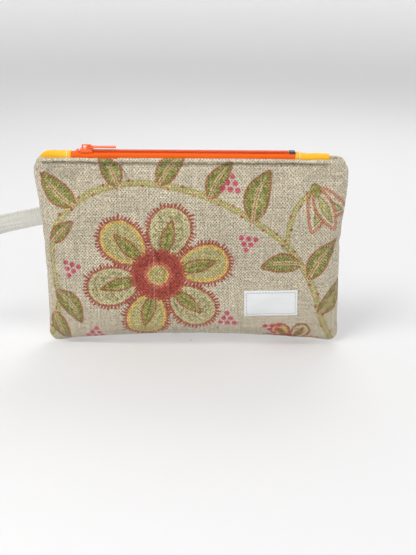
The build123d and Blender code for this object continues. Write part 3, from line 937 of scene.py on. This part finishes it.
def shell(side, outside, inside, top):
    """A closed layer of a wall between two depths below its outside, up to that share of its height."""
    columns, rows = INNER_GRID
    across = np.linspace(-1, 1, columns) * (1 - SEAM_ALLOWANCE * 1.3)
    up = np.linspace(SEAM_ALLOWANCE, top, rows)
    points, _ = wall(side, across, up)
    room = np.clip(points[..., 1] * side - SEAM_HALF, 0.02, None)
    skins = []
    for depth, share in ((outside, 0.55), (inside, 0.8)):
        skin = points.copy()
        skin[..., 1] = side * (SEAM_HALF + room - np.minimum(depth, room * share))
        skins.append(skin.reshape(-1, 3))
    faces = [grid_faces(rows, columns, side > 0), grid_faces(rows, columns, side < 0, rows * columns)]
    ring = np.roll(grid_rim(rows, columns)[::-1], 1)
    following = np.roll(ring, -1)
    rim = np.stack([ring, following, following + rows * columns, ring + rows * columns], -1)
    faces.append(rim if side < 0 else rim[:, ::-1])
    flat = np.stack(np.meshgrid(across * HALF_TOP, up * FOLD_Z), -1).reshape(-1, 2)
    return np.concatenate(skins), np.vstack(faces), np.vstack([flat, flat])


def inner_layers(kind, material, outside, inside, top):
    """The front and back layers of a kind, such as lining."""
    points, faces, flat = shell(-1, outside, inside, top)
    pieces = front_pieces(f"front_{kind}", points, faces, material, f"front_{kind}", places=flat)
    points, faces, flat = shell(1, outside, inside, top)
    back = back_piece(f"back_{kind}_layer", points, faces, material, f"back_{kind}", places=flat)
    return pieces + [back]


for piece in inner_layers("fleece", fleece, 2.3, 3.2, 0.93):
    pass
inner_layers("lining", lining_cotton, 3.4, 3.9, 0.965)


# ------------------------------------------------------------------ strips with a cross-section, along X
def side_of(profile):
    """The direction square to a profile (Y, Z) at each of its points."""
    along = unit(np.gradient(profile, axis=0))
    return np.stack([-along[:, 1], along[:, 0]], -1)


def strip(profile, thickness, stations, drop):
    """A closed strip of cloth: its middle follows the profile (Y, Z) at each station along X, less the drop."""
    normal = side_of(profile)
    ring = np.vstack([profile + normal * thickness / 2, (profile - normal * thickness / 2)[::-1]])
    size, count = len(ring), len(stations)
    points = np.zeros((count, size, 3))
    points[..., 0] = np.asarray(stations)[:, None]
    points[..., 1:] = ring
    points[..., 2] -= drop(points[..., 0], points[..., 1])
    k = np.arange(size // 2 - 1)
    cap = np.stack([k, k + 1, size - 2 - k, size - 1 - k], -1)
    faces = [ring_faces(count, size, True), cap, cap[:, ::-1] + (count - 1) * size]
    lengths = lengths_along(profile)
    flat = np.zeros((count, size, 2))
    flat[..., 0] = np.asarray(stations)[:, None]
    flat[..., 1] = np.concatenate([lengths, lengths[::-1]])
    return points.reshape(-1, 3), np.vstack(faces), flat.reshape(-1, 2)


TAPE_PROFILE = [(-0.7, TAPE_TOP), (-1.8, TAPE_TOP - 0.1), (-2.7, TAPE_TOP - 0.9), (-3.0, TAPE_TOP - 2.3),
                (-3.0, TAPE_TOP - 3.8), (-2.5, TAPE_TOP - 9.0)]
tape_stations = np.arange(ZIP_LEFT - 2.6, ZIP_RIGHT + 2.7, 1.0)


def tape_wave(x, y):
    """The tape's upper part isn't quite straight."""
    return 0.12 * value_noise(x, y, 16, 31)


points, faces, flat = strip(curve_through(TAPE_PROFILE, steps=5), 0.5, tape_stations, tape_wave)
front_pieces("front_tape", points, faces, tape_cloth, "front_zipper_tape", places=flat)
mirror_y = np.array([1.0, -1.0, 1.0])
back_piece("back_tape", points * mirror_y, faces[:, ::-1], tape_cloth, "back_zipper_tape", places=flat)


# ------------------------------------------------------------------ coil
coil_low, coil_high = box_of("front_coil")
COIL_PITCH = 1.27
COIL_WIRE = 0.33  # the wire's radius
COIL_REACH, COIL_RISE = 1.32, 0.58  # half the coil's width and height, at the middle of its wire
WIRE_STEPS = 12


def coil(side, phase):
    """One half of the zipper's coil: a flattened helix of wire that meshes with the other half."""
    turns = (coil_high[0] - coil_low[0]) / COIL_PITCH - 0.5
    t = np.linspace(0, turns, int(turns * WIRE_STEPS))
    angle = 2 * pi * t
    y = side * (0.98 + COIL_REACH * np.sign(np.cos(angle)) * np.abs(np.cos(angle)) ** 0.8)
    z = coil_low[2] + 0.72 + COIL_RISE * np.sin(angle)
    x = coil_low[0] + 0.4 + (t + phase) * COIL_PITCH + 0.16 * np.sin(angle * 2)
    return tube(np.stack([x, y, z], -1), COIL_WIRE)


points, faces = coil(-1, 0.0)
front_pieces("front_coil_wire", points, faces, coil_nylon, "front_coil")
points, faces = coil(1, 0.5)
back_piece("back_coil_wire", points, faces, coil_nylon, "back_coil")


def chain_thread(side):
    """The double line of thread that holds the coil to its tape."""
    x = np.arange(coil_low[0], coil_high[0], 0.25)
    lines = []
    for y, phase in ((1.55, 0.0), (1.95, pi)):
        z = coil_low[2] + 1.30 + 0.16 * np.cos(2 * pi * x / COIL_PITCH + phase)
        lines.append(tube(np.stack([x, np.full_like(x, side * y), z], -1), 0.14))
    return joined(lines)


points, faces = chain_thread(-1)
front_pieces("front_coil_thread", points, faces, orange_thread)
points, faces = chain_thread(1)
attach(make_object("back_coil_thread", points, faces, orange_thread), "pouch_back")


# ------------------------------------------------------------------ folded end tabs
TAB_PROFILE = [(-2.7, TAPE_TOP - 9.0), (-3.2, TAPE_TOP - 3.8), (-3.3, TAPE_TOP - 1.5), (-2.3, TAPE_TOP - 0.1),
               (-1.0, TAPE_TOP + 0.45), (0, TAPE_TOP + 0.55)]
TAB_PROFILE += [(-y, z) for y, z in TAB_PROFILE[-2::-1]]
TAB_STITCH_INSET = 3.0  # from the tab's folded edge to its stitches
LEFT_TAB_SHOULDER = -95.5  # where the left tab starts to curve down into the side seam
LEFT_TAB_WAIST, RIGHT_TAB_WAIST = -84.0, 76.0  # where the tabs start to be squeezed thin


def tab(name, node, left, right, drop, squeeze, folded_at):
    """A cotton tab over both tapes, thicker at its folded edge and squeezed thin towards the side seam."""
    stations = np.arange(left, right + 0.01, 0.4)
    points, faces, flat = strip(curve_through(TAB_PROFILE, steps=4), 1.0, stations, drop)
    points[:, 1] *= squeeze(points[:, 0])
    from_fold = np.abs(points[:, 0] - folded_at)
    centre = np.array([0.0, TAPE_TOP - 4.0])
    away = unit(points[:, 1:] - centre, 1e-9)
    swell = 0.25 * bell(from_fold - 0.9, 0.9) - 0.55 * bell(from_fold, 0.45)
    groove = -0.1 * bell(from_fold - TAB_STITCH_INSET, 0.55)
    swell += groove + 0.16 * value_noise(points[:, 0], points[:, 1], 3.2, 33)
    points[:, 1:] += away * swell[:, None]
    back_piece(name, points, faces, tab_cotton, node, places=flat)


def left_drop(x, y):
    past = np.clip((LEFT_TAB_SHOULDER - x) / (LEFT_TAB_SHOULDER - TAB_LEFT), 0, 1)
    return 6.5 * (1 - np.sqrt(1 - 0.97 * past**2))


def left_squeeze(x):
    return 1 - 0.8 * smooth((LEFT_TAB_WAIST - x) / (LEFT_TAB_WAIST - TAB_LEFT))


def right_drop(x, y):
    return 0.9 * smooth((x - ZIP_RIGHT) / 8.0) + 0.4 * smooth((x - TAB_RIGHT + 3) / 3)


def right_squeeze(x):
    return 1 - 0.3 * smooth((x - RIGHT_TAB_WAIST) / (TAB_RIGHT - RIGHT_TAB_WAIST))


tab("left_tab", "left_zipper_tab", TAB_LEFT, ZIP_LEFT, left_drop, left_squeeze, ZIP_LEFT)
tab("right_tab", "right_zipper_tab", ZIP_RIGHT, TAB_RIGHT, right_drop, right_squeeze, ZIP_RIGHT)


def tab_stitches(name, node, x, lean):
    """White stitches across a tab, following its rounded top."""
    profile = curve_through(TAB_PROFILE, steps=12)
    lengths, normal = lengths_along(profile), side_of(profile)
    pieces = []
    for start in np.arange(3.4, lengths[-1] - 5.0, 2.7):
        s = np.linspace(start, start + 2.1, 9)
        arch = np.sin(np.linspace(0, pi, 9))
        y = np.interp(s, lengths, profile[:, 0] + normal[:, 0] * 0.42)
        z = np.interp(s, lengths, profile[:, 1] + normal[:, 1] * 0.42)
        ny, nz = np.interp(s, lengths, normal[:, 0]), np.interp(s, lengths, normal[:, 1])
        line = np.stack([x + lean * (s - start), y + ny * 0.22 * arch, z + nz * 0.22 * arch], -1)
        pieces.append(tube(line, 0.26, 8))
    return back_piece(name, *joined(pieces), white_thread, node)


tab_stitches("left_tab_thread", "left_tab_stitching", ZIP_LEFT - TAB_STITCH_INSET, 0.12)
tab_stitches("right_tab_thread", "right_tab_stitching", ZIP_RIGHT + TAB_STITCH_INSET, -0.1)


# ------------------------------------------------------------------ stitches and label on the walls
class Surface:
    """Finds where the outside of a wall is, for things that lie on it."""

    def __init__(self, points, faces, side):
        self.side = side
        self.tree = BVHTree.FromPolygons(points.tolist(), faces.tolist())

    def at(self, x, z):
        """The surface's Y at that X and Z."""
        hit = self.tree.ray_cast(Vector((x, self.side * 40.0, z)), Vector((0, -self.side, 0)))
        return hit[0].y if hit[0] else self.side * DEPTH


def sparse(points, columns, rows):
    """Every second row and column of a panel's grid without its fold, for quicker searching."""
    grid = points[: rows * columns].reshape(rows, columns, 3)[::2, ::2]
    return grid.reshape(-1, 3), grid_faces(grid.shape[0], grid.shape[1])


front_surface = Surface(*sparse(front_points, *FRONT_GRID), -1)
back_surface = Surface(*sparse(back_points, *BACK_GRID), 1)


def stitches(surface, start, end, pitch, length, radius, lift, waver=0.08, seed=90):
    """A row of sewn stitches on a wall: each rises out of the cloth, runs along it and goes back in."""
    start, end = np.array(start, float), np.array(end, float)
    total = np.linalg.norm(end - start)
    count = max(1, int(round(total / pitch)))
    across = np.array([-(end - start)[1], (end - start)[0]]) / total
    arch = np.sin(np.linspace(0, pi, 7)) ** 0.6
    random = np.random.default_rng(seed)
    parts = []
    for number in range(count):
        share = (number + 0.5) / count + np.linspace(-0.5, 0.5, 7) * length / total
        offset = random.uniform(-waver, waver)
        slant = random.uniform(-waver, waver)
        line = []
        for k, s in enumerate(share):
            x, z = start + (end - start) * s + across * (offset + slant * (k / 3 - 1))
            rise = lift * arch[k] - radius * 0.7 * (1 - arch[k])
            line.append((x, surface.at(x, z) + surface.side * rise, z))
        parts.append(tube(np.array(line), radius))
    return joined(parts)


def topstitch(surface):
    """The row of stitches along a panel's folded top edge."""
    start, end = (GROOVE_LEFT + 2, GROOVE_Z), (GROOVE_RIGHT - 1, GROOVE_Z)
    return stitches(surface, start, end, pitch=2.95, length=2.35, radius=0.19, lift=0.08)


front_pieces("front_topstitch", *topstitch(front_surface), linen_thread, "front_topstitching")
back_piece("back_topstitch", *topstitch(back_surface), linen_thread, "back_topstitching")

label_low, label_high = box_of("label")
LABEL_X, LABEL_Z = (label_low[0] + label_high[0]) / 2, (label_low[2] + label_high[2]) / 2
LABEL_WIDTH, LABEL_HEIGHT, LABEL_TURN = 38.0, 19.4, radians(1.5)
LABEL_THICKNESS = 0.55
LABEL_INSET = 1.6  # from the label's edge to its stitches


def label_place(a, b):
    """Where a point of the label, a across and b up from its middle, is in X and Z."""
    turn_cos, turn_sin = cos(LABEL_TURN), sin(LABEL_TURN)
    return LABEL_X + a * turn_cos - b * turn_sin, LABEL_Z + a * turn_sin + b * turn_cos


def softened(grid, passes):
    """A grid of numbers with its small bumps smoothed away."""
    for _ in range(passes):
        for axis in (0, 1):
            before, after = np.roll(grid, 1, axis), np.roll(grid, -1, axis)
            ends = [np.s_[0], np.s_[-1]] if axis == 0 else [np.s_[:, 0], np.s_[:, -1]]
            inner = (before + 2 * grid + after) / 4
            for end in ends:
                inner[end] = grid[end]
            grid = inner
    return grid


def make_label():
    """A small rectangle of tape that follows the wall, pressed down under its border stitching."""
    across, up = 77, 41
    b, a = np.meshgrid(np.linspace(-1, 1, up), np.linspace(-1, 1, across), indexing="ij")
    lx, lz = a * LABEL_WIDTH / 2, b * LABEL_HEIGHT / 2
    x, z = label_place(lx, lz)
    wall_y = softened(np.vectorize(front_surface.at)(x, z), 60)
    border = np.minimum(LABEL_WIDTH / 2 - np.abs(lx), LABEL_HEIGHT / 2 - np.abs(lz))
    puff = 0.3 * smooth((border - 2.0) / 4.0) + 0.15 * value_noise(lx, lz, 9.0, 35)
    pressed = 0.2 * bell(border - LABEL_INSET, 0.45)
    rise = 0.28 + LABEL_THICKNESS * np.minimum(1, border / 0.35) ** 0.5 - pressed + puff
    outside = np.stack([x, wall_y - rise, z], -1).reshape(-1, 3)
    inside = np.stack([x, wall_y - 0.05, z], -1).reshape(-1, 3)
    flat = np.stack([lx, lz], -1).reshape(-1, 2)
    count = across * up
    points = np.concatenate([outside, inside])
    ring = grid_rim(up, across)
    following = np.roll(ring, -1)
    rim = np.stack([ring, ring + count, following + count, following], -1)
    faces = np.vstack([grid_faces(up, across), grid_faces(up, across, True, count), rim])
    return points, faces, np.vstack([flat, flat])


points, faces, flat = make_label()
front_pieces("blank_label", points, faces, label_cloth, "label", places=flat)
label_surface = Surface(points, faces, -1)
border_x, border_z = LABEL_WIDTH / 2 - LABEL_INSET, LABEL_HEIGHT / 2 - LABEL_INSET
corners = [(-border_x, -border_z), (border_x, -border_z), (border_x, border_z), (-border_x, border_z)]
rows = [stitches(label_surface, label_place(*a), label_place(*b), 2.2, 1.35, 0.16, 0.12, 0.03, 91 + k)
        for k, (a, b) in enumerate(zip(corners, corners[1:] + corners[:1]))]
front_pieces("label_border", *joined(rows), label_thread, "label_stitching")


# ------------------------------------------------------------------ wrist strap
strap_low, strap_high = box_of("wrist_strap")
STRAP_WIDTH, STRAP_PLY = 12.7, 1.4
FOLD_LINE_X = box_of("strap_anchor")[0][0] - 1.7  # where the strap turns when it swings
SEAM_X = FOLD_LINE_X + 3.0
STRAP_Z = 95.5  # the strap's height at the seam
STRAP_SLOPE, STRAP_END_SLOPE = radians(13), radians(32)
STRAP_STRAIGHT = 30.0  # how much of it is straight before it starts to droop
STRAP_REACH = SEAM_X - strap_low[0]
STRAP_INSET = 1.7  # from the strap's edge to its stitches
LOOP_RADIUS = strap_high[1] - STRAP_PLY / 2


def droop(reach):
    """Height and slope of the strap's middle at that level distance from the seam."""
    straight = STRAP_STRAIGHT * cos(STRAP_SLOPE)
    bend = STRAP_REACH / (STRAP_END_SLOPE - STRAP_SLOPE)
    rise = np.clip(sin(STRAP_SLOPE) + (reach - straight) / bend, sin(STRAP_SLOPE), 0.999)
    slope = np.where(reach < straight, STRAP_SLOPE, np.arcsin(rise))
    lower = np.where(
        reach < straight,
        reach * np.tan(STRAP_SLOPE),
        STRAP_STRAIGHT * sin(STRAP_SLOPE) + bend * (cos(STRAP_SLOPE) - np.cos(slope)),
    )
    return STRAP_Z - lower, slope


def strap_route():
    """The strap's middle seen from above: out along one ply, round the loop and back along the other."""
    tip = STRAP_REACH - STRAP_PLY / 2
    plan = [(-6.5, 0.72), (-2, 0.72), (6, 0.72), (14, 0.72), (22, 1.0), (36, 3.2), (56, 7.2), (78, 11.8),
            (98, LOOP_RADIUS - 1.2), (112, LOOP_RADIUS - 0.6), (122, LOOP_RADIUS * 0.62), (tip, 0.0)]
    plan += [(reach, -y) for reach, y in plan[-2::-1]]
    return curve_through(plan, steps=14)


def make_strap():
    """The folded strip: a rounded section carried along the route, pressed in under its edge stitching."""
    plan = strap_route()
    z, slope = droop(plan[:, 0])
    middle = np.stack([SEAM_X - plan[:, 0], plan[:, 1], z], -1)
    middle[:, 1] += 0.35 * value_noise(plan[:, 0], plan[:, 1] * 0, 26, 36) * smooth((plan[:, 0] - 10) / 20)
    along = unit(np.gradient(middle, axis=0))
    width = np.stack([-np.sin(slope), np.zeros_like(slope), np.cos(slope)], -1)
    normal = unit(np.cross(along, width))
    w = np.sin(np.linspace(-pi / 2, pi / 2, 25)) * STRAP_WIDTH / 2
    edge = STRAP_WIDTH / 2 - np.abs(w)
    thick = (STRAP_PLY / 2 - 0.06) * np.sqrt(np.clip(1 - (1 - np.clip(edge / 0.7, 0, 1)) ** 2, 0, 1))
    thick = thick - 0.17 * bell(edge - STRAP_INSET, 0.4)
    ring_w = np.concatenate([w, w[::-1][1:-1]])
    ring_n = np.concatenate([thick, -thick[::-1][1:-1]])
    size, count = len(ring_w), len(middle)
    lengths = lengths_along(middle)
    ripple = 0.05 * value_noise(lengths[:, None], ring_w[None], 5.0, 37)
    points = middle[:, None] + ring_w[None, :, None] * width[:, None]
    points = points + (ring_n[None] + np.sign(ring_n)[None] * ripple)[..., None] * normal[:, None]
    k = np.arange(1, size // 2)
    cap = np.stack([k - 1, k, (size - k) % size, (size - k + 1) % size], -1)
    faces = [ring_faces(count, size), cap[:, ::-1], cap + (count - 1) * size]
    flat = np.zeros((count, size, 2))
    flat[..., 0], flat[..., 1] = ring_w, lengths[:, None]
    edges = []
    for sign in (-1, 1):
        for face in (-1, 1):
            inset = width * sign * (STRAP_WIDTH / 2 - STRAP_INSET)
            row = middle + inset + normal * face * (STRAP_PLY / 2 - 0.12)
            edges.append((row, normal * face, lengths))
    return points.reshape(-1, 3), np.vstack(faces), flat.reshape(-1, 2), edges, lengths[-1]


def strap_stitches(edges):
    """Edge stitching down both sides of the strap, on both faces."""
    parts = []
    for row, out, lengths in edges:
        for start in np.arange(9.0, lengths[-1] - 9.0, 2.8):
            s = np.linspace(start, start + 2.2, 6)
            line = np.stack([np.interp(s, lengths, row[:, k]) for k in range(3)], -1)
            lift = np.stack([np.interp(s, lengths, out[:, k]) for k in range(3)], -1)
            arch = np.sin(np.linspace(0, pi, 6))[:, None] ** 0.6
            parts.append(tube(line + lift * (0.14 * arch - 0.1), 0.16))
    return joined(parts)


points, faces, flat, strap_edges, strap_length = make_strap()
wrist_strap = make_object("wrist_strap_webbing", points, faces, strap_cotton)
lay_cloth(wrist_strap, flat)
strap_thread_piece = make_object("wrist_strap_stitching", *strap_stitches(strap_edges), strap_thread)
for piece in (wrist_strap, strap_thread_piece):
    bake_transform(piece)
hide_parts("wrist_strap", "strap_anchor")


# ------------------------------------------------------------------ metal parts and hidden stitches
CAD_LOOKS = [("slider_body", slider_enamel), ("pull_tab", slider_enamel), ("bottom_stop", stop_metal),
             ("back_top_stop", slider_enamel)]  # nodes that are shown as the CAD model has them
for node, material in CAD_LOOKS:
    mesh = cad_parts[node].data
    mesh.materials.clear()
    mesh.materials.append(material)

top_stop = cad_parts["front_top_stop"]
top_stop.data.calc_loop_triangles()
points = np.array([top_stop.matrix_world @ vertex.co for vertex in top_stop.data.vertices]) / MM
faces = np.array([triangle.vertices[:] for triangle in top_stop.data.loop_triangles])
front_pieces("front_top_stop_crimp", points, faces, slider_enamel, "front_top_stop", smooth_shade=False)

closing_low, closing_high = box_of("lining_closing_stitches")
closing = []
for start in np.arange(closing_low[0], closing_high[0] - 2.0, 2.8):
    x = np.linspace(start, start + 2.0, 7)
    z = flat_outline((x / HALF_BOTTOM + 1) / 2, np.full(7, SEAM_ALLOWANCE))[1]
    closing.append(tube(np.stack([x, 0.9 * np.cos(np.linspace(0, pi, 7)), z + 0.3], -1), 0.16))
back_piece("closing_thread", *joined(closing), linen_thread, "lining_closing_stitches")


# ------------------------------------------------------------------ stage, light and camera
def backdrop_paper():
    """Pale paper that glows a little more where it rises behind the object."""
    look = Look("paper", 0.9, Specular_IOR_Level=0.2, Emission_Color=(1, 1, 1, 1))
    look.colour((*srgb(222, 222, 223), 1.0))
    split = look.node("ShaderNodeSeparateXYZ")
    look.link(look.place(), split.inputs[0])
    look.link(look.ranged(split.outputs[2], 0.02, 0.4, 0.05, 0.5), look.shader.inputs["Emission Strength"])
    return look.material


floor_z = min(front_points[:, 2].min(), 0.0) - 0.05
FLOOR_RADIUS, COVE, BACKDROP_HEIGHT, AROUND = 1500.0, 500.0, 2600.0, 65
cove_angles = np.linspace(0, pi / 2, 13)
path = [(0.5, 0.0), (400.0, 0.0), (900.0, 0.0)]
path += [(FLOOR_RADIUS + COVE * sin(a), COVE * (1 - cos(a))) for a in cove_angles]
path += [(FLOOR_RADIUS + COVE, BACKDROP_HEIGHT)]
turns = np.linspace(0, 2 * pi, AROUND)
sheet_points = np.array([(r * cos(turn), r * sin(turn), z + floor_z) for r, z in path for turn in turns])
floor = make_object("floor", sheet_points, grid_faces(len(path), AROUND, True), backdrop_paper())

scene = bpy.context.scene
world = bpy.data.worlds.new("studio")
scene.world = world
world.use_nodes = True
world.node_tree.nodes["Background"].inputs[0].default_value = (1.0, 1.0, 1.0, 1.0)
world.node_tree.nodes["Background"].inputs[1].default_value = 0.15


def area_light(name, place, aim, size, watts, colour=(1, 1, 1)):
    """A square soft light at a place, pointed at another, both in millimetres."""
    data = bpy.data.lights.new(name, "AREA")
    data.size, data.energy, data.color = size * MM, watts, colour
    lamp = bpy.data.objects.new(name, data)
    scene.collection.objects.link(lamp)
    lamp.location = Vector(place) * MM
    lamp.rotation_euler = (Vector(aim) - Vector(place)).to_track_quat("-Z", "Y").to_euler()


area_light("key", (-420, -430, 900), (0, 0, 80), 450, 5.6, (1.0, 0.985, 0.955))
area_light("fill", (700, -700, 350), (0, 0, 60), 700, 1.3, (1.0, 0.99, 0.97))
area_light("rim", (200, 700, 800), (0, 0, 80), 600, 2.7)

CAMERA_AIM = Vector((12.2, -8.0, 53.2))
CAMERA_DISTANCE, CAMERA_ELEVATION, CAMERA_ROLL = 581.0, radians(21), radians(0.4)
camera_data = bpy.data.cameras.new("camera")
camera_data.lens = 53
camera_data.clip_start = 0.02
camera = bpy.data.objects.new("camera", camera_data)
scene.collection.objects.link(camera)
back_off = Vector((0, -cos(CAMERA_ELEVATION), sin(CAMERA_ELEVATION)))
camera.location = (CAMERA_AIM + back_off * CAMERA_DISTANCE) * MM
camera.rotation_euler = (-back_off).to_track_quat("-Z", "Y").to_euler()
camera.rotation_euler.rotate_axis("Z", CAMERA_ROLL)
scene.camera = camera
scene.view_settings.view_transform = "Standard"
